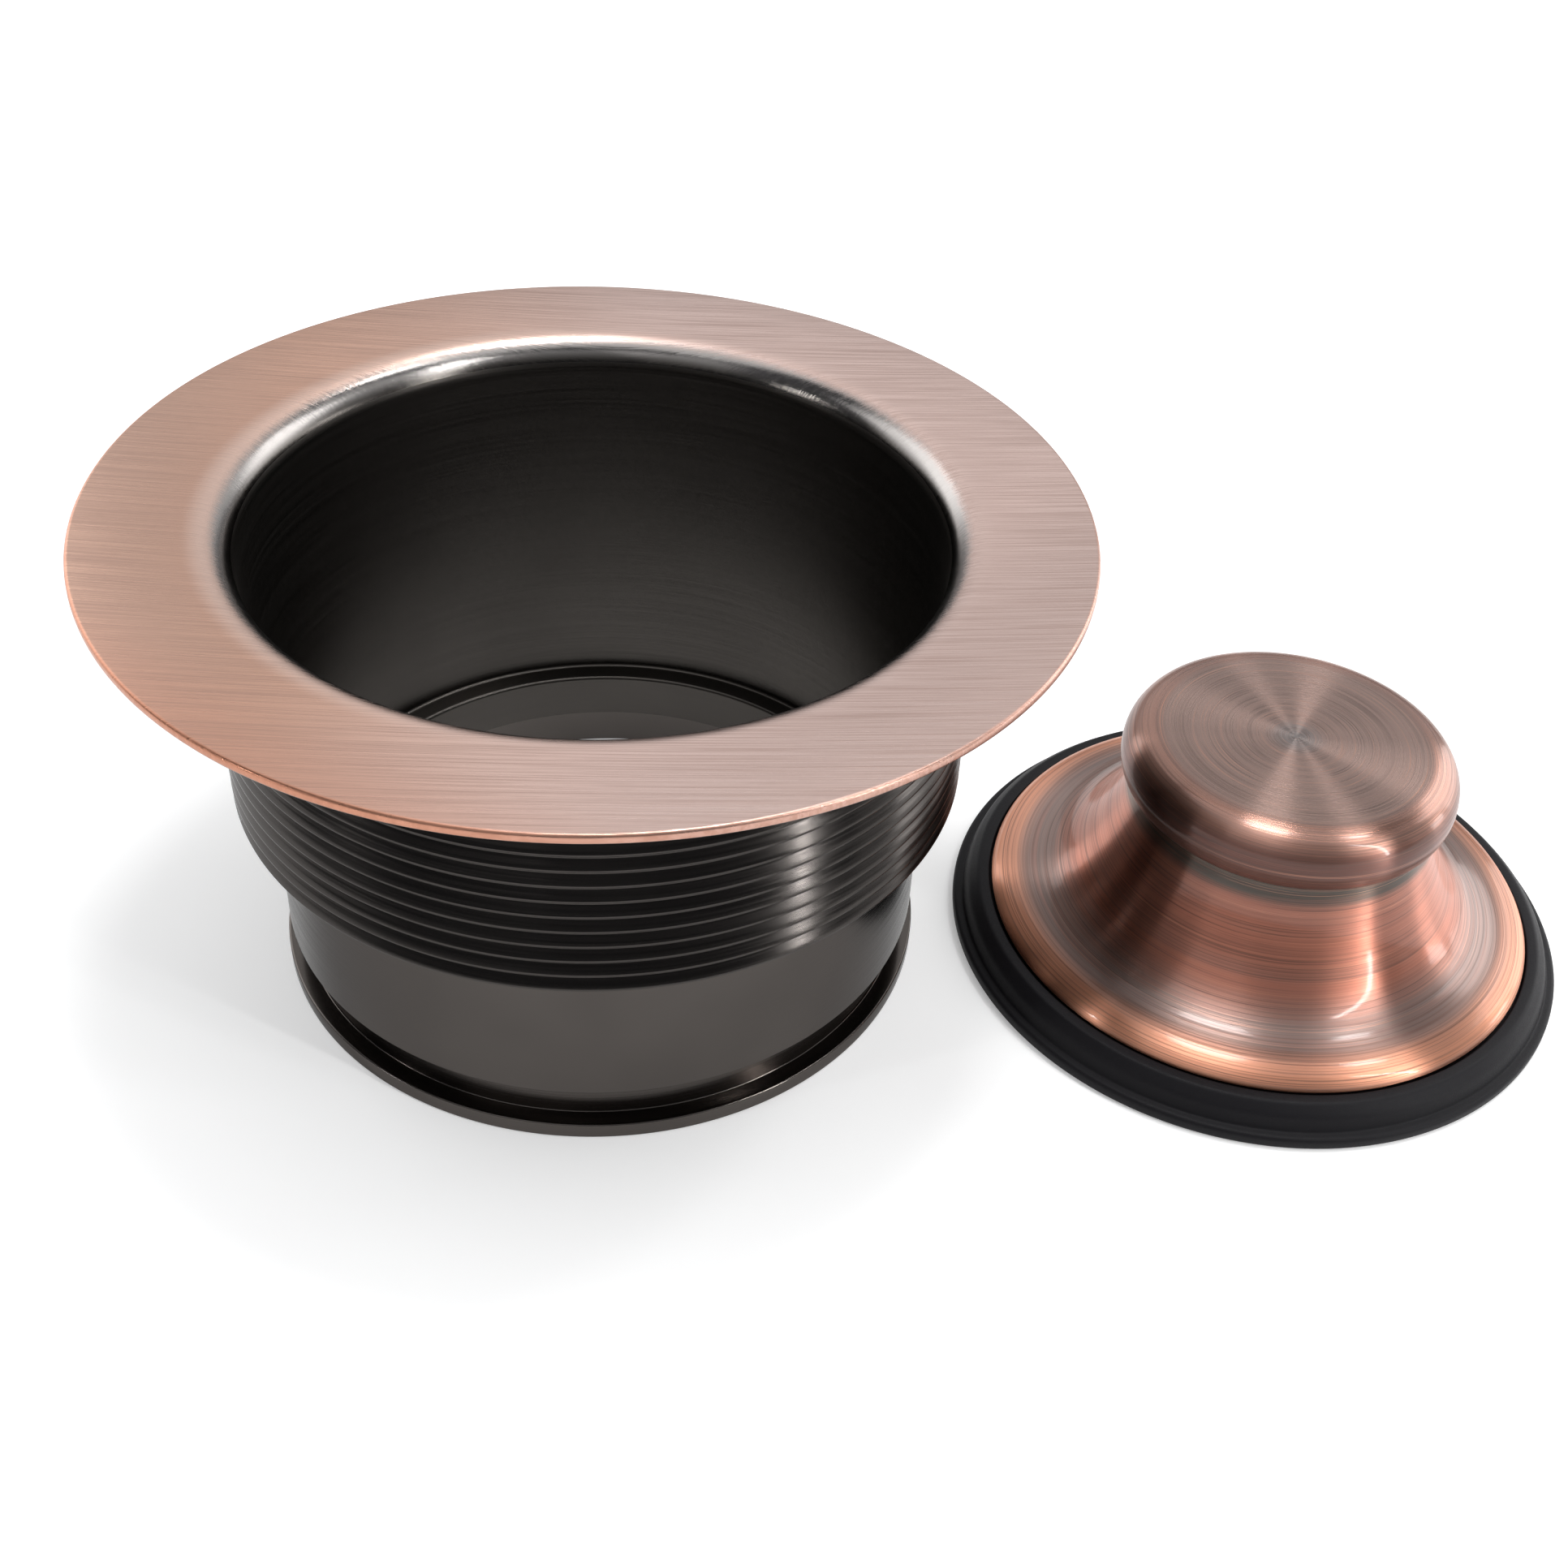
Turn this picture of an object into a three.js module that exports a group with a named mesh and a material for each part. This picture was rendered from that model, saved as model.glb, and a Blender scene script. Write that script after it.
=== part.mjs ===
// A kitchen sink flange for a garbage disposal, with its lift-out stopper standing beside it.
// Millimetres, +Z up. Both stand on z = 0, and the origin is the middle of the set's footprint.
import * as THREE from "three";

// ---- driving dimensions: sink flange -------------------------------------------------------
const RIM_RADIUS = 57.15; // 4.5 in across the rim
const FLANGE_HEIGHT = 61.0;
const RIM_THICKNESS = 1.2;
const RIM_EDGE_ROUND = 0.5;
const MOUTH_FILLET = 4.0;
const BORE_TOP_RADIUS = 40.2;
const BORE_LOW_RADIUS = 38.4;
const LEDGE_HEIGHT = 11.2; // annular ledge near the foot of the bore
const THROAT_RADIUS = 35.4;
const THREAD_RADIUS = 44.2; // passes a 3.5 in sink outlet
const THREAD_DEPTH = 0.7;
const THREAD_ROOT = 0.67; // share of the pitch from a crest up to the root above it
const THREAD_PITCH = 2.117; // 12 turns to the inch
const THREAD_FLOOR = 27.8;
const THREAD_TURNS = 15;
const NECK_RADIUS = 39.9;
const NECK_FLOOR = 7.0;
const SNAP_GROOVE_RADIUS = 38.2;
const LIP_RADIUS = 40.4;
const LIP_HEIGHT = 2.1;
const LIP_CHAMFER = 0.3;

// ---- driving dimensions: stopper -----------------------------------------------------------
const CAP_RADIUS = 35.7;
const CAP_FOOT = 4.0; // underside of the cap's rounded edge
const CAP_RECESS_RADIUS = 26.0; // shallow hollow under the bell
const CAP_RECESS_CEILING = 7.0;
const KNOB_TOP = 31.6;
// Knots of smooth curves, as [radius, height], from the cap's edge in and up to the knob's top.
const CAP_EDGE = [[34.9, CAP_FOOT], [CAP_RADIUS, 5.0], [34.9, 6.3], [32.9, 7.1]];
const BELL = [[31.0, 7.3], [28.6, 8.0], [26.2, 9.5], [22.3, 15.0], [20.8, 18.4], [19.4, 23.6]];
const KNOB_SIDE = [[20.3, 24.0], [21.2, 25.2], [21.5, 27.0], [21.1, 29.0], [19.9, 30.7], [18.0, 31.4]];
const SEAL_RADIUS = 40.6;
const SEAL_LIP_HEIGHT = 1.7;
const SEAL_LIP_ROUND = 0.5;
const SEAL_RING_RADIUS = 39.3; // foot of the raised ring inside the lip
const SEAL_RING_SHOULDER = [38.7, 3.8];
const SEAL_RING_TOP = 4.9;
const SEAL_RING_TOP_RADIUS = 37.7; // outer edge of the ring's flat top
const SEAL_WEB = 1.5; // thickness of the rubber clamped under the cap
const SEAL_FOOT_RADIUS = 33.0; // inner edge of the face the stopper stands on
const SEAL_HOLLOW_RADIUS = 23.6; // recess that the plate sits in
const PLATE_RADIUS = 23.0;
const PLATE_THICKNESS = 1.2;
const WASHER_RADIUS = 6.5;
const WASHER_THICKNESS = 0.8;
const STEEL_CHAMFER = 0.2;
const SCREW_HEAD_RADIUS = 4.6;
const SCREW_HEAD_HEIGHT = 1.9;
const SCREW_HEAD_ROUND = 0.9;
const SCREW_RADIUS = 2.2;
const SCREW_TIP = 13.0;
const SCREW_POINT = 0.8; // length of the tapered end

// ---- layout --------------------------------------------------------------------------------
const GAP = 0.3; // clearance kept between neighbouring pieces
const AXIS_SPACING = 86.5; // from the flange's axis to the stopper's, along x
const STOPPER_Y = -8.0;
const FLANGE_X = (RIM_RADIUS - AXIS_SPACING - SEAL_RADIUS) / 2;
const STOPPER_X = FLANGE_X + AXIS_SPACING;

// The stack clamped under the cap, from the rubber web down to the screw head.
const WEB_TOP = CAP_RECESS_CEILING - GAP;
const WEB_FLOOR = WEB_TOP - SEAL_WEB;
const PLATE_TOP = WEB_FLOOR - GAP;
const PLATE_FLOOR = PLATE_TOP - PLATE_THICKNESS;
const WASHER_TOP = PLATE_FLOOR - GAP;
const WASHER_FLOOR = WASHER_TOP - WASHER_THICKNESS;
const HEAD_TOP = WASHER_FLOOR - GAP;

// Segments round a turn.
const TURNED_SEGMENTS = 40;
const PLATE_SEGMENTS = 32;
const WASHER_SEGMENTS = 24;
const SCREW_SEGMENTS = 16;

// ---- materials -----------------------------------------------------------------------------
const copper = { color: 0xb98a72, roughness: 0.35, metalness: 1.0 };
const bronze = { color: 0x6b5a50, roughness: 0.3, metalness: 1.0 };
const rubber = { color: 0x151517, roughness: 0.7, metalness: 0.0 };
const steel = { color: 0xa9abad, roughness: 0.3, metalness: 1.0 };

// ---- helpers -------------------------------------------------------------------------------
// An outline is a list of [radius, height] points, counter-clockwise in the r-z plane.

function arc(centreR, centreZ, radius, startDeg, endDeg, steps) {
  const points = [];
  for (let i = 0; i <= steps; i += 1) {
    const angle = THREE.MathUtils.degToRad(startDeg + ((endDeg - startDeg) * i) / steps);
    points.push([centreR + radius * Math.cos(angle), centreZ + radius * Math.sin(angle)]);
  }
  return points;
}

function smooth(points, steps) {
  const knots = points.map(([r, z]) => new THREE.Vector3(r, z, 0));
  const spline = new THREE.CatmullRomCurve3(knots, false, "centripetal");
  return spline.getPoints(steps).map((p) => [p.x, p.y]);
}

// Turns an outline about the z axis. One that doesn't start and end on the axis closes on itself.
function turned(name, outline, finish, segments) {
  const onAxis = outline[0][0] === 0;
  const loop = onAxis ? outline : [...outline, outline[0]];
  const profile = loop.map(([r, z]) => new THREE.Vector2(r, z));
  const geometry = new THREE.LatheGeometry(profile, segments);
  geometry.rotateX(Math.PI / 2);
  const mesh = new THREE.Mesh(geometry, new THREE.MeshStandardMaterial(finish));
  mesh.name = name;
  return mesh;
}

// ---- sink flange ---------------------------------------------------------------------------

// Level ridges of V section, one per pitch, ending on a crest under the rim.
function threadOutline() {
  const points = [];
  for (let turn = 0; turn < THREAD_TURNS; turn += 1) {
    const crest = THREAD_FLOOR + turn * THREAD_PITCH;
    points.push([THREAD_RADIUS, crest]);
    points.push([THREAD_RADIUS - THREAD_DEPTH, crest + THREAD_PITCH * THREAD_ROOT]);
  }
  points.push([THREAD_RADIUS, THREAD_FLOOR + THREAD_TURNS * THREAD_PITCH]);
  return points;
}

function rimOutline() {
  const floor = FLANGE_HEIGHT - RIM_THICKNESS;
  const edge = RIM_RADIUS - RIM_EDGE_ROUND;
  return [
    [THREAD_RADIUS, floor],
    ...arc(edge, floor + RIM_EDGE_ROUND, RIM_EDGE_ROUND, -90, 0, 3),
    ...arc(edge, FLANGE_HEIGHT - RIM_EDGE_ROUND, RIM_EDGE_ROUND, 0, 90, 3),
  ];
}

function boreOutline() {
  const filletR = BORE_TOP_RADIUS + MOUTH_FILLET;
  const filletZ = FLANGE_HEIGHT - MOUTH_FILLET;
  return [
    ...arc(filletR, filletZ, MOUTH_FILLET, 90, 180, 8),
    [BORE_LOW_RADIUS, LEDGE_HEIGHT],
    [THROAT_RADIUS, LEDGE_HEIGHT],
  ];
}

function sinkFlange() {
  const outline = [
    [THROAT_RADIUS, 0],
    [LIP_RADIUS - LIP_CHAMFER, 0],
    [LIP_RADIUS, LIP_CHAMFER],
    [LIP_RADIUS, LIP_HEIGHT],
    [SNAP_GROOVE_RADIUS, LIP_HEIGHT],
    [SNAP_GROOVE_RADIUS, NECK_FLOOR],
    [NECK_RADIUS, NECK_FLOOR],
    [NECK_RADIUS, THREAD_FLOOR],
    ...threadOutline(),
    ...rimOutline(),
    ...boreOutline(),
  ];
  const mesh = turned("sink_flange", outline, bronze, TURNED_SEGMENTS);
  mesh.position.set(FLANGE_X, 0, 0);
  return mesh;
}

// ---- stopper -------------------------------------------------------------------------------

// One turned piece: a grip knob over a concave bell that runs out to a rounded edge.
function stopperCap() {
  const holeRadius = SCREW_RADIUS + GAP;
  const outline = [
    [0, SCREW_TIP + GAP],
    [holeRadius, SCREW_TIP + GAP],
    [holeRadius, CAP_RECESS_CEILING],
    [CAP_RECESS_RADIUS, CAP_RECESS_CEILING],
    [CAP_RECESS_RADIUS, CAP_FOOT],
    ...smooth(CAP_EDGE, 6),
    ...smooth(BELL, 11),
    ...smooth(KNOB_SIDE, 9),
    [0, KNOB_TOP],
  ];
  return turned("stopper_cap", outline, copper, TURNED_SEGMENTS);
}

// A moulded ring: outer lip, raised ring round the cap's edge, and a web clamped under the cap.
function stopperSeal() {
  const seatRadius = CAP_RADIUS + GAP;
  const webRadius = CAP_RECESS_RADIUS - GAP;
  const holeRadius = SCREW_RADIUS + GAP;
  const outline = [
    [SEAL_FOOT_RADIUS, 0],
    [SEAL_RADIUS - SEAL_LIP_ROUND, 0],
    [SEAL_RADIUS, SEAL_LIP_ROUND],
    [SEAL_RADIUS, SEAL_LIP_HEIGHT - SEAL_LIP_ROUND],
    [SEAL_RADIUS - SEAL_LIP_ROUND, SEAL_LIP_HEIGHT],
    [SEAL_RING_RADIUS, SEAL_LIP_HEIGHT],
    SEAL_RING_SHOULDER,
    [SEAL_RING_TOP_RADIUS, SEAL_RING_TOP],
    [seatRadius, SEAL_RING_TOP],
    [seatRadius, CAP_FOOT - GAP],
    [webRadius, CAP_FOOT - GAP],
    [webRadius, WEB_TOP],
    [holeRadius, WEB_TOP],
    [holeRadius, WEB_FLOOR],
    [SEAL_HOLLOW_RADIUS, WEB_FLOOR],
    [SEAL_HOLLOW_RADIUS, PLATE_FLOOR],
  ];
  return turned("stopper_seal", outline, rubber, TURNED_SEGMENTS);
}

function ring(name, innerRadius, outerRadius, floor, top, segments) {
  const outline = [
    [innerRadius, floor],
    [outerRadius - STEEL_CHAMFER, floor],
    [outerRadius, floor + STEEL_CHAMFER],
    [outerRadius, top],
    [innerRadius, top],
  ];
  return turned(name, outline, steel, segments);
}

function retainerScrew() {
  const headFloor = HEAD_TOP - SCREW_HEAD_HEIGHT;
  const outline = [
    [0, headFloor],
    [SCREW_HEAD_RADIUS - SCREW_HEAD_ROUND, headFloor],
    [SCREW_HEAD_RADIUS, headFloor + SCREW_HEAD_ROUND],
    [SCREW_HEAD_RADIUS, HEAD_TOP],
    [SCREW_RADIUS, HEAD_TOP],
    [SCREW_RADIUS, SCREW_TIP - SCREW_POINT],
    [SCREW_RADIUS - SCREW_POINT, SCREW_TIP],
    [0, SCREW_TIP],
  ];
  return turned("retainer_screw", outline, steel, SCREW_SEGMENTS);
}

function stopper() {
  const group = new THREE.Group();
  const hole = SCREW_RADIUS + GAP;
  group.add(
    stopperCap(),
    stopperSeal(),
    ring("retainer_plate", hole, PLATE_RADIUS, PLATE_FLOOR, PLATE_TOP, PLATE_SEGMENTS),
    ring("retainer_washer", hole, WASHER_RADIUS, WASHER_FLOOR, WASHER_TOP, WASHER_SEGMENTS),
    retainerScrew(),
  );
  group.position.set(STOPPER_X, STOPPER_Y, 0);
  return group;
}

// ---- the set -------------------------------------------------------------------------------
const flangeSet = new THREE.Group();
flangeSet.add(sinkFlange(), stopper());

export default flangeSet;
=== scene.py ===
"""A garbage disposal's sink flange in antique copper, with its stopper beside it.

Sizes and outlines are in millimetres, in each piece's own radius and height, and so are the
materials' places. Meshes, lights and camera are placed in metres.
"""
import math

import bmesh
import bpy
from mathutils import Matrix, Vector


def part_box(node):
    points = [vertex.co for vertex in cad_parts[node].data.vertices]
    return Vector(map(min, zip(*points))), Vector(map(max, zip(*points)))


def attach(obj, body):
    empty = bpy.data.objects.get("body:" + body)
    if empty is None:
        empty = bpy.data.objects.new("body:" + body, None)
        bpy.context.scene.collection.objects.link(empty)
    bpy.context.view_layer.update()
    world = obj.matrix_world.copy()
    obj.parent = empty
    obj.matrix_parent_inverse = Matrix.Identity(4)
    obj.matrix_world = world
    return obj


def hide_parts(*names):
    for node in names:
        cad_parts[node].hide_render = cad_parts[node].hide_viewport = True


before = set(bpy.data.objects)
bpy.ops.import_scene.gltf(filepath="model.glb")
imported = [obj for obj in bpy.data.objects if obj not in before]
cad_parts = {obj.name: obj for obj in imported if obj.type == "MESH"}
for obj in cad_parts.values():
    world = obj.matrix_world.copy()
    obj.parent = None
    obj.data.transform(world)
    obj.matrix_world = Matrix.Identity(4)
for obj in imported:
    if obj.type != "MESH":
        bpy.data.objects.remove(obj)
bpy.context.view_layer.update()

MM = 0.001
TURN = 2 * math.pi

# ---- sizes ---------------------------------------------------------------------------------
FLANGE_LOW, FLANGE_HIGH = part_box("sink_flange")
SEAL_LOW, SEAL_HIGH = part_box("stopper_seal")
CAP_LOW, CAP_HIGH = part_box("stopper_cap")
FLANGE_AXIS = (FLANGE_LOW + FLANGE_HIGH) / 2
STOPPER_AXIS = (CAP_LOW + CAP_HIGH) / 2
RIM_RADIUS = (FLANGE_HIGH.x - FLANGE_LOW.x) / 2 / MM
FLANGE_HEIGHT = FLANGE_HIGH.z / MM
SEAL_RADIUS = (SEAL_HIGH.x - SEAL_LOW.x) / 2 / MM
CAP_RADIUS = (CAP_HIGH.x - CAP_LOW.x) / 2 / MM
CAP_FOOT = CAP_LOW.z / MM
KNOB_TOP = CAP_HIGH.z / MM

RIM_THICKNESS = 1.2
MOUTH_FILLET = 4.0
BORE_TOP_RADIUS = 40.2
BORE_LOW_RADIUS = 38.4
LEDGE_HEIGHT = 11.2
THROAT_RADIUS = 35.4
THREAD_RADIUS = 44.2
THREAD_PITCH = 2.117
THREAD_FLOOR = 27.8
THREAD_START = 0.35  # turns from the seam to where the lowest crest leaves the shoulder
SHOULDER_RADIUS = 43.3  # where the flat under the thread ends, just inside the thread's root
RIM_UNDERSIDE_RADIUS = 44.5
NECK_RADIUS = 39.9
NECK_FLOOR = 7.0
SNAP_GROOVE_RADIUS = 38.2
LIP_RADIUS = 40.4
LIP_HEIGHT = 2.1
THROAT_SEAM = 5.0  # height in the throat where the flange's outline starts and ends

SCREW_HOLE_RADIUS = 2.5
SCREW_HOLE_TOP = 13.3
CAP_CEILING = 7.0
CAP_HOLLOW_RADIUS = 26.0
SEAL_BOSS_RADIUS = 25.7
SEAL_BOSS_TOP = 6.7
SEAL_TOP = 4.9

FLANGE_STEPS = 288
STOPPER_STEPS = 224
SCREW_STEPS = 96
MOUTH_STEPS = 24


# ---- outlines ------------------------------------------------------------------------------
def rounded(corners, steps=4):
    """The outline through corners (r, z, size): a size over 0 turns that corner into a curve."""
    points = []
    last = len(corners) - 1
    for i, (r, z, size) in enumerate(corners):
        here = Vector((r, z))
        if size <= 0 or i in (0, last):
            points.append((r, z))
            continue
        before = Vector(corners[i - 1][:2])
        after = Vector(corners[i + 1][:2])
        start = here + (before - here).normalized() * size
        end = here + (after - here).normalized() * size
        for k in range(steps + 1):
            t = k / steps
            point = start * (1 - t) ** 2 + here * (2 * t * (1 - t)) + end * t ** 2
            points.append((point.x, point.y))
    return points


def smooth(knots, steps):
    """A Catmull-Rom curve through the knots, with this many points in each stretch."""
    ends = [2 * Vector(knots[0]) - Vector(knots[1])]
    ends += [Vector(k) for k in knots]
    ends += [2 * Vector(knots[-1]) - Vector(knots[-2])]
    points = []
    for i in range(1, len(ends) - 2):
        a, b, c, d = ends[i - 1:i + 3]
        for k in range(steps):
            t = k / steps
            p = 0.5 * (2 * b + (c - a) * t + (2 * a - 5 * b + 4 * c - d) * t ** 2
                       + (3 * b - a - 3 * c + d) * t ** 3)
            points.append((p.x, p.y))
    points.append(tuple(knots[-1]))
    return points


# ---- turned meshes -------------------------------------------------------------------------
def turned(name, axis, outline_at, steps, closed, finish_of=None):
    """A piece turned about a vertical axis.

    outline_at(angle) gives the outline at that angle, always with as many points, so that a
    thread can wind round. The "turn" map holds angle and length along the outline. finish_of(row)
    gives the material's index for the band of faces from that point of the outline to the next.
    """
    bm = bmesh.new()
    turn_map = bm.loops.layers.uv.new("turn")
    columns = []
    for i in range(steps + 1):
        angle = TURN * i / steps
        outline = outline_at(angle)
        columns.append([
            bm.verts.new((axis.x + r * MM * math.cos(angle),
                          axis.y + r * MM * math.sin(angle),
                          z * MM))
            for r, z in outline
        ])
    base = outline_at(0.0)
    lengths = [0.0]
    for a, b in zip(base, base[1:] + base[:1]):
        lengths.append(lengths[-1] + math.dist(a, b))
    rows = len(base)
    for i in range(steps):
        for j in range(rows if closed else rows - 1):
            k = (j + 1) % rows
            ring = (columns[i][j], columns[i + 1][j], columns[i + 1][k], columns[i][k])
            marks = ((i, j), (i + 1, j), (i + 1, j + 1), (i, j + 1))
            places = {}
            for vert, mark in zip(ring, marks):
                places.setdefault(tuple(round(c, 8) for c in vert.co), (vert, mark))
            if len(places) < 3:
                continue
            face = bm.faces.new([vert for vert, _ in places.values()])
            face.smooth = True
            face.material_index = finish_of(j) if finish_of else 0
            for loop, (_, (column, row)) in zip(face.loops, places.values()):
                loop[turn_map].uv = (column / steps, lengths[row] * MM)
    bmesh.ops.remove_doubles(bm, verts=bm.verts, dist=1e-7)
    loose = [v for v in bm.verts if not v.link_faces]
    bmesh.ops.delete(bm, geom=loose, context="VERTS")
    bmesh.ops.recalc_face_normals(bm, faces=bm.faces)
    mesh = bpy.data.meshes.new(name)
    bm.to_mesh(mesh)
    bm.free()
    piece = bpy.data.objects.new(name, mesh)
    bpy.context.scene.collection.objects.link(piece)
    return piece


# ---- sink flange ---------------------------------------------------------------------------
THREAD_SHAPE = (  # share of a pitch above the crest's lower edge, and depth under the crest
    (0.00, 0.03),
    (0.02, 0.00),
    (0.06, 0.00),
    (0.10, 0.03),
    (0.35, 0.32),
    (0.62, 0.66),
    (0.66, 0.70),
    (0.70, 0.70),
    (0.74, 0.64),
    (0.86, 0.34),
    (0.97, 0.06),
)


def thread_depth(phase):
    """Depth under the crest at a phase from 0 to 1 of the pitch."""
    shape = THREAD_SHAPE + ((1.0, THREAD_SHAPE[0][1]),)
    for (p0, d0), (p1, d1) in zip(shape, shape[1:]):
        if phase <= p1:
            return d0 + (d1 - d0) * (phase - p0) / (p1 - p0)
    return shape[-1][1]


def thread_outline(angle, ceiling):
    """One stretch of the barrel, with the thread climbing a pitch for each turn."""
    climb = THREAD_PITCH * (angle / TURN + THREAD_START)
    turns = math.ceil((ceiling - THREAD_FLOOR) / THREAD_PITCH) + 1
    points = []
    for turn in range(-2, turns):
        for phase, depth in THREAD_SHAPE:
            z = THREAD_FLOOR + climb + (turn + phase) * THREAD_PITCH
            clipped = min(max(z, THREAD_FLOOR), ceiling)
            if clipped != z:
                depth = thread_depth(((clipped - THREAD_FLOOR - climb) / THREAD_PITCH) % 1.0)
            points.append((THREAD_RADIUS - depth, clipped))
    return points


def flange_outline():
    """The stretches below the thread, above it, round the mouth and down the bore."""
    rim_floor = FLANGE_HEIGHT - RIM_THICKNESS
    below = rounded([
        (THROAT_RADIUS, THROAT_SEAM, 0),
        (THROAT_RADIUS, 0, 0.4),
        (LIP_RADIUS, 0, 0.3),
        (LIP_RADIUS, LIP_HEIGHT, 0.25),
        (SNAP_GROOVE_RADIUS, LIP_HEIGHT, 0.2),
        (SNAP_GROOVE_RADIUS, NECK_FLOOR, 0.2),
        (NECK_RADIUS, NECK_FLOOR, 0.25),
        (NECK_RADIUS, THREAD_FLOOR, 0.3),
        (SHOULDER_RADIUS, THREAD_FLOOR, 0),
    ])
    above = rounded([
        (RIM_UNDERSIDE_RADIUS, rim_floor, 0),
        (RIM_RADIUS, rim_floor, 0.45),
        (RIM_RADIUS, FLANGE_HEIGHT, 0.45),
        (BORE_TOP_RADIUS + MOUTH_FILLET + 1.5, FLANGE_HEIGHT, 0),
    ])
    mouth = []
    for k in range(MOUTH_STEPS + 1):
        a = math.radians(90 + 90 * k / MOUTH_STEPS)
        mouth.append((BORE_TOP_RADIUS + MOUTH_FILLET * (1 + math.cos(a)),
                      FLANGE_HEIGHT - MOUTH_FILLET * (1 - math.sin(a))))
    bore = rounded([
        (BORE_TOP_RADIUS, FLANGE_HEIGHT - MOUTH_FILLET, 0),
        (BORE_LOW_RADIUS, LEDGE_HEIGHT, 0.5),
        (THROAT_RADIUS, LEDGE_HEIGHT, 0.5),
        (THROAT_RADIUS, THROAT_SEAM, 0),
    ])
    return below, above, mouth, bore[1:-1]


def sink_flange(neck, thread, rim, bore):
    """Each stretch of the outline has its own material, the thread's darkened as painted shade: copper
    goes from the rim's edge to the mouth.
    """
    below, above, mouth, inside = flange_outline()
    rim_floor = FLANGE_HEIGHT - RIM_THICKNESS
    points_under_rim = 4
    copper_mouth_steps = 19
    thread_from = len(below)
    thread_to = thread_from + len(thread_outline(0.0, rim_floor))
    copper_from = thread_to + points_under_rim
    copper_to = thread_to + len(above) + copper_mouth_steps

    def outline_at(angle):
        return below + thread_outline(angle, rim_floor) + above + mouth + inside

    def finish_of(row):
        if row >= copper_to:
            return 3
        if row >= copper_from:
            return 2
        return 1 if thread_from <= row < thread_to else 0

    piece = turned("sink_flange_finish", FLANGE_AXIS, outline_at, FLANGE_STEPS, True, finish_of)
    for material in (neck, thread, rim, bore):
        piece.data.materials.append(material)
    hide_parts("sink_flange")
    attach(piece, "flange")
    return piece


# ---- stopper -------------------------------------------------------------------------------
def stopper_cap(material):
    edge = smooth([
        (CAP_RADIUS - 0.8, CAP_FOOT),
        (CAP_RADIUS, CAP_FOOT + 1.0),
        (CAP_RADIUS - 0.8, CAP_FOOT + 2.3),
        (CAP_RADIUS - 2.8, CAP_FOOT + 3.1),
        (31.0, 7.3),
        (28.6, 8.0),
        (26.2, 9.5),
        (24.2, 11.8),
        (22.3, 15.0),
        (20.8, 18.4),
        (19.8, 21.6),
        (19.4, 23.6),
    ], 8)
    knob = smooth([
        (19.8, 23.9),
        (20.5, 24.1),
        (21.2, 25.2),
        (21.5, 27.0),
        (21.1, 29.0),
        (19.9, 30.6),
        (18.0, 31.35),
        (15.5, 31.5),
        (8.0, KNOB_TOP),
        (0.0, KNOB_TOP),
    ], 8)
    outline = rounded([
        (0, SCREW_HOLE_TOP, 0),
        (SCREW_HOLE_RADIUS, SCREW_HOLE_TOP, 0),
        (SCREW_HOLE_RADIUS, CAP_CEILING, 0.3),
        (CAP_HOLLOW_RADIUS, CAP_CEILING, 0.4),
        (CAP_HOLLOW_RADIUS, CAP_FOOT, 0.4),
        (CAP_RADIUS - 2.0, CAP_FOOT, 0),
    ]) + edge + knob
    piece = turned("stopper_cap_finish", STOPPER_AXIS, lambda angle: outline, STOPPER_STEPS, False)
    piece.data.materials.append(material)
    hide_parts("stopper_cap")
    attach(piece, "stopper")
    return piece


def stopper_seal(material):
    seat = CAP_RADIUS + 0.3
    outline = rounded([
        (30.0, 1.0, 0),
        (33.0, 0, 0.8),
        (SEAL_RADIUS, 0, 0.6),
        (SEAL_RADIUS, 1.7, 0.6),
        (39.35, 1.75, 0.25),
        (38.75, 3.7, 0.5),
        (37.5, SEAL_TOP, 0.35),
        (seat, SEAL_TOP, 0.25),
        (seat, CAP_FOOT - 0.3, 0.2),
        (SEAL_BOSS_RADIUS, CAP_FOOT - 0.3, 0.3),
        (SEAL_BOSS_RADIUS, SEAL_BOSS_TOP, 0.3),
        (SCREW_HOLE_RADIUS, SEAL_BOSS_TOP, 0.2),
        (SCREW_HOLE_RADIUS, 5.2, 0.2),
        (23.6, 5.2, 0.3),
        (23.6, 3.7, 0.5),
        (30.0, 1.0, 0),
    ])[:-1]
    piece = turned("stopper_seal_finish", STOPPER_AXIS, lambda angle: outline, STOPPER_STEPS, True)
    piece.data.materials.append(material)
    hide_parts("stopper_seal")
    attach(piece, "stopper")
    return piece


def retainer(node, foot, top, radius, rounding, material, steps):
    """The plate or the washer under the cap: a disc with a hole, rounded most at its lower edge."""
    first = (SCREW_HOLE_RADIUS, foot, 0)
    outline = rounded([
        first,
        (radius, foot, rounding),
        (radius, top, rounding - 0.1),
        (SCREW_HOLE_RADIUS, top, 0.1),
        first,
    ])[:-1]
    piece = turned(node + "_finish", STOPPER_AXIS, lambda angle: outline, steps, True)
    piece.data.materials.append(material)
    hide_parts(node)
    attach(piece, "stopper")
    return piece


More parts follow.
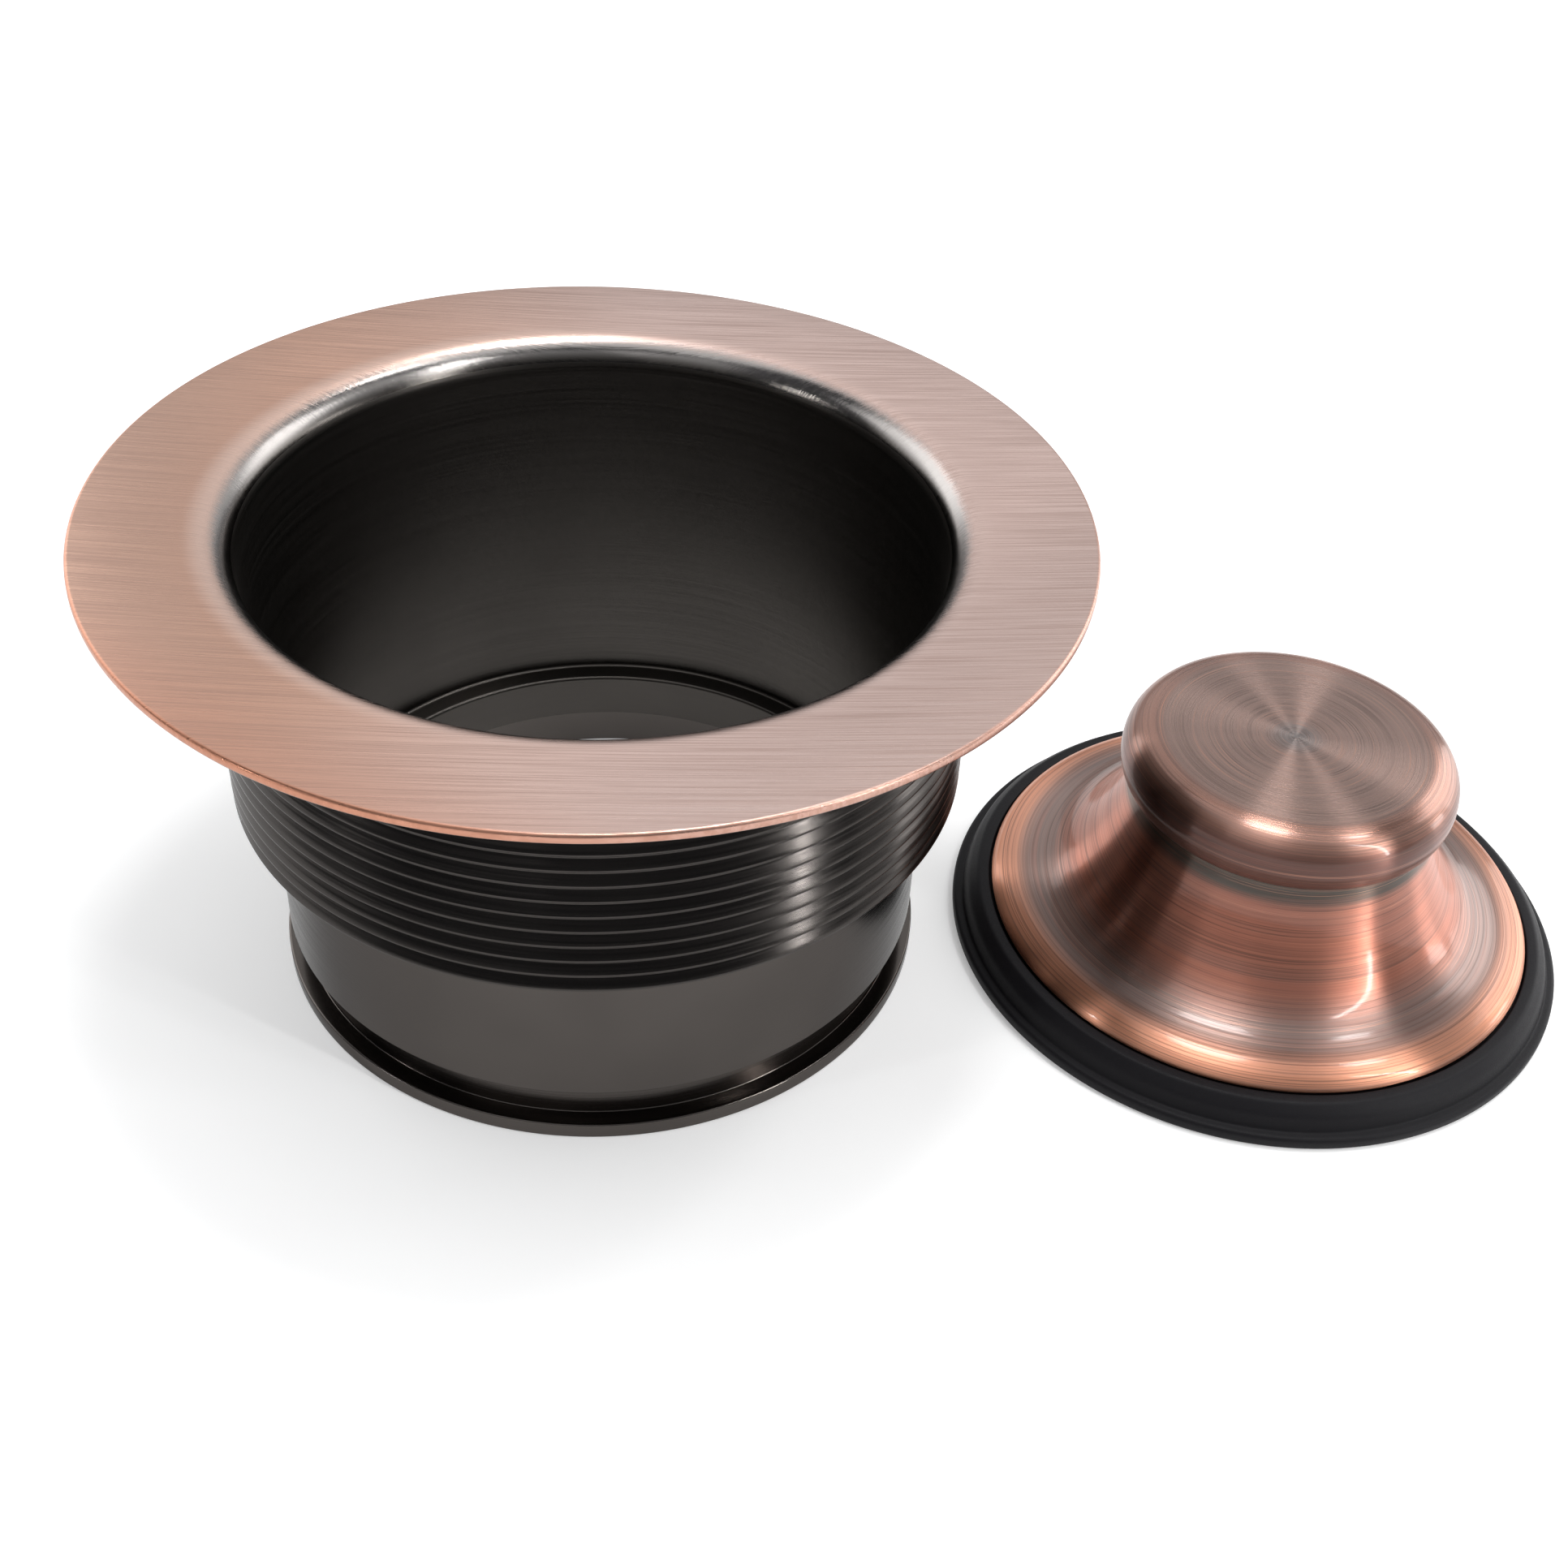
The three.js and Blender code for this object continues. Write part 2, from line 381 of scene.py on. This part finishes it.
def retainer_screw(material):
    """A pan-head screw, head down, with a cross recess: its arms widen the recess by angle."""
    low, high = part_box("retainer_screw")
    foot, tip = low.z / MM, high.z / MM
    head_radius = (high.x - low.x) / 2 / MM
    head_top = foot + 1.9
    recess_top = foot + 1.1
    arm_length, arm_half_width = 2.5, 0.42
    recess_taper = 0.86
    shank = 2.2

    def outline_at(angle):
        across = min(abs(math.sin(angle)), abs(math.cos(angle)))
        reach = min(arm_length, arm_half_width / max(across, 1e-3))
        recess = [(0, recess_top), (reach * recess_taper, recess_top), (reach, foot)]
        return recess + rounded([
            (arm_length + 0.15, foot, 0),
            (head_radius, foot, 1.1),
            (head_radius, head_top, 0.2),
            (shank, head_top, 0.15),
            (shank, tip - 1.8, 0.3),
            (0.7, tip, 0.3),
            (0, tip, 0),
        ])

    piece = turned("retainer_screw_finish", STOPPER_AXIS, outline_at, SCREW_STEPS, False)
    piece.data.materials.append(material)
    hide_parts("retainer_screw")
    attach(piece, "stopper")
    return piece


# ---- materials -----------------------------------------------------------------------------
class Shader:
    """A material's nodes. Each method but put and set adds nodes and gives back their output."""

    def __init__(self, name):
        self.material = bpy.data.materials.new(name)
        self.material.use_nodes = True
        self.nodes = self.material.node_tree.nodes
        self.links = self.material.node_tree.links
        self.surface = self.nodes["Principled BSDF"]

    def put(self, socket, value):
        if isinstance(value, bpy.types.NodeSocket):
            self.links.new(value, socket)
        else:
            socket.default_value = value

    def math(self, operation, *values):
        node = self.nodes.new("ShaderNodeMath")
        node.operation = operation
        for socket, value in zip(node.inputs, values):
            self.put(socket, value)
        return node.outputs[0]

    def vector(self, x, y, z):
        node = self.nodes.new("ShaderNodeCombineXYZ")
        for socket, value in zip(node.inputs, (x, y, z)):
            self.put(socket, value)
        return node.outputs[0]

    def band(self, value, low, high, to_low=0.0, to_high=1.0):
        """Rises smoothly from to_low to to_high as value goes from low to high."""
        node = self.nodes.new("ShaderNodeMapRange")
        node.interpolation_type = "SMOOTHSTEP"
        names = ("Value", "From Min", "From Max", "To Min", "To Max")
        for key, number in zip(names, (value, low, high, to_low, to_high)):
            self.put(node.inputs[key], number)
        return node.outputs[0]

    def noise(self, vector, scale, detail, roughness=0.5):
        node = self.nodes.new("ShaderNodeTexNoise")
        self.put(node.inputs["Vector"], vector)
        node.inputs["Scale"].default_value = scale
        node.inputs["Detail"].default_value = detail
        node.inputs["Roughness"].default_value = roughness
        return node.outputs["Fac"]

    def mix(self, factor, a, b):
        node = self.nodes.new("ShaderNodeMix")
        node.data_type = "RGBA"
        self.put(node.inputs["Factor"], factor)
        for socket, value in zip((node.inputs[6], node.inputs[7]), (a, b)):
            self.put(socket, (*value, 1.0) if isinstance(value, tuple) else value)
        return node.outputs[2]

    def local(self, axis):
        """Position about a vertical axis, in millimetres: x, y, radius and height."""
        place = self.nodes.new("ShaderNodeTexCoord")
        move = self.nodes.new("ShaderNodeVectorMath")
        move.operation = "SUBTRACT"
        self.put(move.inputs[0], place.outputs["Object"])
        move.inputs[1].default_value = (axis.x, axis.y, 0.0)
        size = self.nodes.new("ShaderNodeVectorMath")
        size.operation = "SCALE"
        self.put(size.inputs[0], move.outputs[0])
        size.inputs["Scale"].default_value = 1 / MM
        split = self.nodes.new("ShaderNodeSeparateXYZ")
        self.put(split.inputs[0], size.outputs[0])
        x, y, z = split.outputs
        square = self.math("ADD", self.math("MULTIPLY", x, x), self.math("MULTIPLY", y, y))
        return x, y, self.math("SQRT", square), z

    def along(self):
        """Length along the outline, in millimetres, from the turn map."""
        turn = self.nodes.new("ShaderNodeUVMap")
        turn.uv_map = "turn"
        split = self.nodes.new("ShaderNodeSeparateXYZ")
        self.put(split.inputs[0], turn.outputs["UV"])
        return self.math("DIVIDE", split.outputs["Y"], MM)

    def rings(self, x, y, radius, length, run, spacing, detail=4.0):
        """Noise drawn out round the axis: run is a streak's length in radians, spacing in mm."""
        divisor = self.math("MAXIMUM", radius, 0.5)
        vector = self.vector(
            self.math("DIVIDE", self.math("DIVIDE", x, divisor), run),
            self.math("DIVIDE", self.math("DIVIDE", y, divisor), run),
            self.math("DIVIDE", length, spacing),
        )
        return self.noise(vector, 1.0, detail)

    def bump(self, height, depth):
        node = self.nodes.new("ShaderNodeBump")
        node.inputs["Distance"].default_value = depth
        self.put(node.inputs["Height"], height)
        return node.outputs[0]

    def tangent(self):
        node = self.nodes.new("ShaderNodeTangent")
        node.direction_type = "UV_MAP"
        node.uv_map = "turn"
        return node.outputs[0]

    def set(self, **values):
        """Sets or links the surface's sockets, named with _ for a space."""
        for key, value in values.items():
            colour = isinstance(value, tuple)
            self.put(self.surface.inputs[key.replace("_", " ")], (*value, 1.0) if colour else value)


BRUSH_ARC = 640.0  # radius of the brush strokes across the rim, in millimetres
BRUSH_LEAN = math.radians(-4)

COPPER_PALE = (0.68, 0.51, 0.46)
COPPER_WARM = (0.62, 0.37, 0.27)
COPPER_MAUVE = (0.36, 0.29, 0.27)
COPPER_BROWN = (0.36, 0.24, 0.19)
COPPER_FLUSH = (0.52, 0.25, 0.17)
# painted highlight: a pale ring round the mouth, brighter on the left
COPPER_HALO_HIGHLIGHT = (0.80, 0.66, 0.60)
COPPER_EDGE = (0.47, 0.20, 0.12)
COPPER_DARK = (0.27, 0.17, 0.14)
COPPER_RED = (0.44, 0.175, 0.12)
COPPER_BLACK = (0.13, 0.085, 0.072)
COPPER_ORANGE = (0.72, 0.325, 0.20)
# painted shade: the knob's side is painted much darker than the bell's copper
KNOB_PAINTED_SHADE = (0.15, 0.071, 0.057)
# painted highlight: a lighter, pinkish copper on the knob's upper corner
KNOB_CORNER_HIGHLIGHT = (0.40, 0.22, 0.17)
KNOB_CENTRE = (0.20, 0.18, 0.175)
PATINA = (0.27, 0.18, 0.153)
PATINA_GRAY = (0.25, 0.18, 0.16)
PATINA_GREEN = (0.085, 0.080, 0.068)
BRONZE = (0.104, 0.093, 0.086)
# painted shade: the neck's bronze at about half its brightness, darkening the thread under the rim
THREAD_BRONZE_SHADED = (0.053, 0.048, 0.045)
BORE_BRONZE = (0.081, 0.074, 0.068)
MOUTH_BRONZE = (0.31, 0.293, 0.282)
RUBBER = (0.0062, 0.0056, 0.0072)
DUST = (0.035, 0.035, 0.037)
STEEL = (0.60, 0.60, 0.61)
STEEL_DARK = (0.48, 0.48, 0.49)


def rim_copper():
    """Brushed straight across, darkening to bronze where the rim rolls into the bore."""
    s = Shader("rim_copper")
    x, y, radius, z = s.local(FLANGE_AXIS)
    c, t = math.cos(BRUSH_LEAN), math.sin(BRUSH_LEAN)
    u = s.math("ADD", s.math("MULTIPLY", x, c), s.math("MULTIPLY", y, t))
    v = s.math("SUBTRACT", s.math("MULTIPLY", y, c), s.math("MULTIPLY", x, t))
    v = s.math("SUBTRACT", v, s.math("DIVIDE", s.math("MULTIPLY", u, u), 2 * BRUSH_ARC))

    def strokes(along, across, layer, detail, roughness=0.5):
        place = s.vector(s.math("MULTIPLY", u, along), s.math("MULTIPLY", v, across), layer)
        return s.noise(place, 1.0, detail, roughness)

    fine = strokes(0.045, 5.6, z, 5.0, 0.62)
    broad = strokes(0.022, 1.5, 7.0, 4.0, 0.6)
    tone = strokes(0.012, 0.02, 3.0, 1.0)
    left = s.band(s.math("ADD", u, s.math("MULTIPLY", tone, 50.0)), 35.0, -15.0)
    colour = s.mix(left, COPPER_PALE, COPPER_WARM)
    corner = s.band(s.math("SUBTRACT", u, v), 42.0, 72.0, 0.0, 0.35)
    colour = s.mix(corner, colour, COPPER_MAUVE)
    far_left = s.band(s.math("SUBTRACT", s.math("MULTIPLY", v, -0.25), u), 26.0, 58.0, 0.0, 0.62)
    colour = s.mix(far_left, colour, COPPER_BROWN)
    front_left = s.math("SUBTRACT", s.math("MULTIPLY", v, -0.85), s.math("MULTIPLY", u, 0.5))
    colour = s.mix(s.band(front_left, 43.0, 58.0, 0.0, 0.45), colour, COPPER_FLUSH)
    colour = s.mix(s.band(fine, 0.42, 0.62, 0.0, 0.46), colour, COPPER_DARK)
    colour = s.mix(s.band(broad, 0.45, 0.72, 0.03, 0.27), colour, COPPER_DARK)
    hairy = s.math("ADD", radius, s.math("MULTIPLY", fine, 1.6))
    # painted highlight: a pale band where the rim starts to roll into the mouth, strongest on the left
    halo_highlight = s.math("MULTIPLY", s.band(hairy, 46.4, 43.8), s.band(left, 0.0, 1.0, 0.08, 0.36))
    colour = s.mix(halo_highlight, colour, COPPER_HALO_HIGHLIGHT)
    rolled = s.band(hairy, 43.7, 42.3)
    colour = s.mix(rolled, colour, MOUTH_BRONZE)
    colour = s.mix(s.band(radius, 41.15, 40.5), colour, BORE_BRONZE)
    edge = s.band(radius, RIM_RADIUS - 0.5, RIM_RADIUS - 0.15)
    edge = s.math("MULTIPLY", edge, s.band(u, 30.0, -20.0, 0.45, 0.75))
    colour = s.mix(edge, colour, COPPER_EDGE)
    rough = s.math("SUBTRACT", s.band(fine, 0.3, 0.7, 0.26, 0.38), s.math("MULTIPLY", rolled, 0.13))
    s.set(Base_Color=colour, Metallic=1.0, Roughness=rough,
          Normal=s.bump(fine, 0.00002))
    return s.material


def bronze(name, colour, rough, edge_gleam=0.45):
    """Blackened metal, satin, with fine turning marks. edge_gleam is its gleam at a low angle."""
    s = Shader(name)
    x, y, radius, z = s.local(FLANGE_AXIS)
    marks = s.rings(x, y, radius, z, 0.8, 0.22)
    cloud = s.noise(s.vector(s.math("MULTIPLY", x, 0.05), s.math("MULTIPLY", y, 0.05),
                             s.math("MULTIPLY", z, 0.05)), 1.0, 2.0)
    worn = tuple(c * 0.88 for c in colour)
    s.set(Base_Color=s.mix(s.band(cloud, 0.3, 0.7), colour, worn), Metallic=1.0,
          Specular_Tint=(edge_gleam,) * 3,
          Roughness=s.band(marks, 0.3, 0.7, rough - 0.04, rough + 0.04),
          Normal=s.bump(marks, 0.000006))
    return s.material


def cap_copper():
    """Turned copper: red where it is rubbed, orange on its rim, gray and green in the hollows, painted
    shade on the knob's side and a painted highlight on its corner.
    """
    s = Shader("cap_copper")
    x, y, radius, z = s.local(STOPPER_AXIS)
    length = s.along()
    fine = s.rings(x, y, radius, length, 1.6, 0.14, 4.0)
    broad = s.rings(x, y, radius, length, 5.0, 1.9)
    grime = s.rings(x, y, radius, length, 0.8, 0.45, 6.0)
    # painted shade: the knob above the crease takes the dark painted-shade copper
    colour = s.mix(s.band(z, 22.5, 24.5), COPPER_RED, KNOB_PAINTED_SHADE)
    # painted highlight: lighter copper round the knob's upper corner
    knob_corner_highlight = s.math("MULTIPLY", s.band(z, 28.8, 30.6), s.band(radius, 16.0, 18.5))
    colour = s.mix(s.math("MULTIPLY", knob_corner_highlight, 0.75), colour, KNOB_CORNER_HIGHLIGHT)
    top = s.math("MULTIPLY", s.band(z, 31.0, 31.3), s.band(radius, 18.2, 16.4))
    colour = s.mix(top, colour, PATINA)
    colour = s.mix(s.math("MULTIPLY", top, s.band(radius, 4.5, 0.5)), colour, KNOB_CENTRE)
    valley = s.math("MULTIPLY", s.band(radius, 24.5, 28.5), s.band(z, 20.0, 16.0))
    colour = s.mix(s.math("MULTIPLY", valley, s.band(grime, 0.3, 0.6, 0.75, 1.0)), colour, PATINA_GRAY)
    crease = s.math("MULTIPLY", s.band(z, 20.2, 21.6), s.band(z, 24.1, 23.4))
    colour = s.mix(s.math("MULTIPLY", crease, s.band(grime, 0.25, 0.6, 0.7, 1.0)), colour, PATINA_GREEN)
    rim = s.band(s.math("ADD", radius, s.math("MULTIPLY", grime, 2.0)), 31.6, 35.2)
    colour = s.mix(s.math("MULTIPLY", rim, 0.95), colour, COPPER_ORANGE)
    colour = s.mix(s.band(broad, 0.40, 0.66, 0.0, 0.20), colour, COPPER_DARK)
    colour = s.mix(s.band(fine, 0.47, 0.72, 0.0, 0.62), colour, COPPER_BLACK)
    colour = s.mix(s.band(fine, 0.42, 0.24, 0.0, 0.38), colour, COPPER_ORANGE)
    s.surface.inputs["Anisotropic"].default_value = 1.0
    s.surface.inputs["Anisotropic Rotation"].default_value = 0.25
    rough = s.math("ADD", s.band(fine, 0.3, 0.7, 0.30, 0.42), s.math("MULTIPLY", rim, 0.06))
    rough = s.math("SUBTRACT", rough, s.math("MULTIPLY", s.band(z, 30.6, 31.3), 0.11))
    s.set(Base_Color=colour, Metallic=1.0, Roughness=rough, Coat_Weight=0.4, Coat_Roughness=0.10,
          Normal=s.bump(fine, 0.00002), Tangent=s.tangent())
    return s.material


def black_rubber():
    """Matte, with a fine grain and a little dust."""
    s = Shader("black_rubber")
    x, y, _, z = s.local(STOPPER_AXIS)
    place = s.vector(x, y, z)
    grain = s.noise(place, 6.0, 4.0)
    dust = s.noise(place, 1.3, 6.0, 0.7)
    colour = s.mix(s.band(dust, 0.66, 0.80, 0.0, 0.5), RUBBER, DUST)
    s.set(Base_Color=colour, Metallic=0.0, Roughness=s.band(grain, 0.3, 0.7, 0.46, 0.58),
          Specular_IOR_Level=0.16, Normal=s.bump(grain, 0.00002))
    return s.material


def plain_steel():
    """Turned steel with fine rings."""
    s = Shader("plain_steel")
    x, y, radius, _ = s.local(STOPPER_AXIS)
    marks = s.rings(x, y, radius, radius, 1.4, 0.25)
    colour = s.mix(s.band(marks, 0.3, 0.7), STEEL, STEEL_DARK)
    s.set(Base_Color=colour, Metallic=1.0, Roughness=s.band(marks, 0.3, 0.7, 0.22, 0.34),
          Normal=s.bump(marks, 0.000008))
    return s.material


# ---- studio --------------------------------------------------------------------------------
def floor():
    """A white floor, lit from within toward the horizon, where the panels' light runs out.

    Seen from below it is clear, so that the undersides can be looked at.
    """
    half = 3.0
    under = -0.00005
    mesh = bpy.data.meshes.new("floor")
    corners = [(-half, -half, under), (half, -half, under), (half, half, under), (-half, half, under)]
    mesh.from_pydata(corners, [], [(0, 1, 2, 3)])
    piece = bpy.data.objects.new("floor", mesh)
    bpy.context.scene.collection.objects.link(piece)
    s = Shader("floor_white")
    _, _, radius, _ = s.local(Vector((0, 0, 0)))
    from_below = s.nodes.new("ShaderNodeNewGeometry").outputs["Backfacing"]
    s.set(Base_Color=(0.86, 0.86, 0.86), Roughness=0.9, Specular_IOR_Level=0.1,
          Emission_Color=(1.0, 1.0, 1.0), Emission_Strength=s.band(radius, 500, 1600, 0.30, 1.0),
          Alpha=s.math("SUBTRACT", 1.0, from_below))
    mesh.materials.append(s.material)


def surroundings():
    """Dim all round for the light that falls on the set, and a plain white backdrop behind it."""
    world = bpy.data.worlds.new("studio")
    bpy.context.scene.world = world
    world.use_nodes = True
    nodes, links = world.node_tree.nodes, world.node_tree.links
    dim = nodes["Background"]
    dim.inputs["Color"].default_value = (0.90, 0.93, 1.0, 1.0)
    dim.inputs["Strength"].default_value = 0.10
    backdrop = nodes.new("ShaderNodeBackground")
    backdrop.inputs["Color"].default_value = (1.0, 1.0, 1.0, 1.0)
    blend = nodes.new("ShaderNodeMixShader")
    links.new(nodes.new("ShaderNodeLightPath").outputs["Is Camera Ray"], blend.inputs[0])
    links.new(dim.outputs[0], blend.inputs[1])
    links.new(backdrop.outputs[0], blend.inputs[2])
    links.new(blend.outputs[0], nodes["World Output"].inputs["Surface"])


def studio():
    """Soft panels all round, small bright ones for the gleams on thread, knob and bell."""
    panel("back", 180, 38, 1.5, 3.4, 1.3, 0.85)
    panel("top", 180, 88, 1.5, 1.7, 1.3, 1.2)
    panel("key", 150, 80, 1.4, 0.26, 0.26, 22.0)
    panel("key_right", 105, 62, 1.4, 0.14, 0.14, 26.0)
    panel("strip_right", 51, 30, 1.0, 0.030, 0.95, 52.0)
    panel("low_right", 91, 7, 1.2, 0.22, 0.26, 7.0)
    panel("glint_left", -72, 20, 1.1, 0.035, 0.20, 45.0)
    panel("front_left", -34, 38, 1.2, 0.65, 0.8, 0.50)
    panel("front_right", 14, 40, 1.25, 1.2, 0.8, 0.30)
    panel("right", 88, 28, 1.3, 0.9, 1.2, 0.50)
    panel("right_back", 116, 20, 1.3, 0.7, 1.0, 3.0)
    panel("left", -128, 20, 1.3, 1.1, 1.0, 1.8)


def panel(name, bearing, elevation, distance, width, height, radiance):
    """A soft panel facing the set: bearing in degrees from the front round to the right."""
    a, e = math.radians(bearing), math.radians(elevation)
    toward = Vector((math.sin(a) * math.cos(e), -math.cos(a) * math.cos(e), math.sin(e)))
    light = bpy.data.lights.new("light_" + name, "AREA")
    light.shape = "RECTANGLE"
    light.size = width
    light.size_y = height
    light.energy = radiance * math.pi * width * height
    lamp = bpy.data.objects.new("light_" + name, light)
    lamp.location = toward * distance
    lamp.rotation_euler = toward.to_track_quat("Z", "Y").to_euler()
    bpy.context.scene.collection.objects.link(lamp)


def camera():
    """Looks down on the set from in front, a little to the left, with a slight roll."""
    yaw, pitch, roll = math.radians(11.20), math.radians(-38.93), math.radians(5.48)
    forward = Vector((math.sin(yaw) * math.cos(pitch), math.cos(yaw) * math.cos(pitch), math.sin(pitch)))
    level = Vector((math.cos(yaw), -math.sin(yaw), 0))
    above = level.cross(forward)
    right = level * math.cos(roll) + above * math.sin(roll)
    up = above * math.cos(roll) - level * math.sin(roll)
    data = bpy.data.cameras.new("camera")
    data.sensor_width = 36.0
    data.lens = 45.56
    data.shift_x = -0.0621
    data.clip_start = 0.01
    view = bpy.data.objects.new("camera", data)
    turn = Matrix((right, up, -forward)).transposed().to_4x4()
    spot = Vector((FLANGE_AXIS.x - 0.0033, FLANGE_AXIS.y - 0.1959, 0.1805))
    view.matrix_world = Matrix.Translation(spot) @ turn
    bpy.context.scene.collection.objects.link(view)
    bpy.context.scene.camera = view


camera()
floor()
surroundings()
studio()
# the thread's bronze is darker than the neck's: painted shade under the rim
sink_flange(bronze("neck_bronze", BRONZE, 0.19, 0.6), bronze("thread_bronze_shaded", THREAD_BRONZE_SHADED, 0.20, 1.0),
            rim_copper(), bronze("bore_bronze", BORE_BRONZE, 0.34))
stopper_cap(cap_copper())
stopper_seal(black_rubber())
steel = plain_steel()
retainer("retainer_plate", 3.7, 4.9, 23.0, 0.3, steel, 128)
retainer("retainer_washer", 2.6, 3.4, 6.5, 0.2, steel, 64)
retainer_screw(steel)

bpy.context.scene.view_settings.view_transform = "Standard"
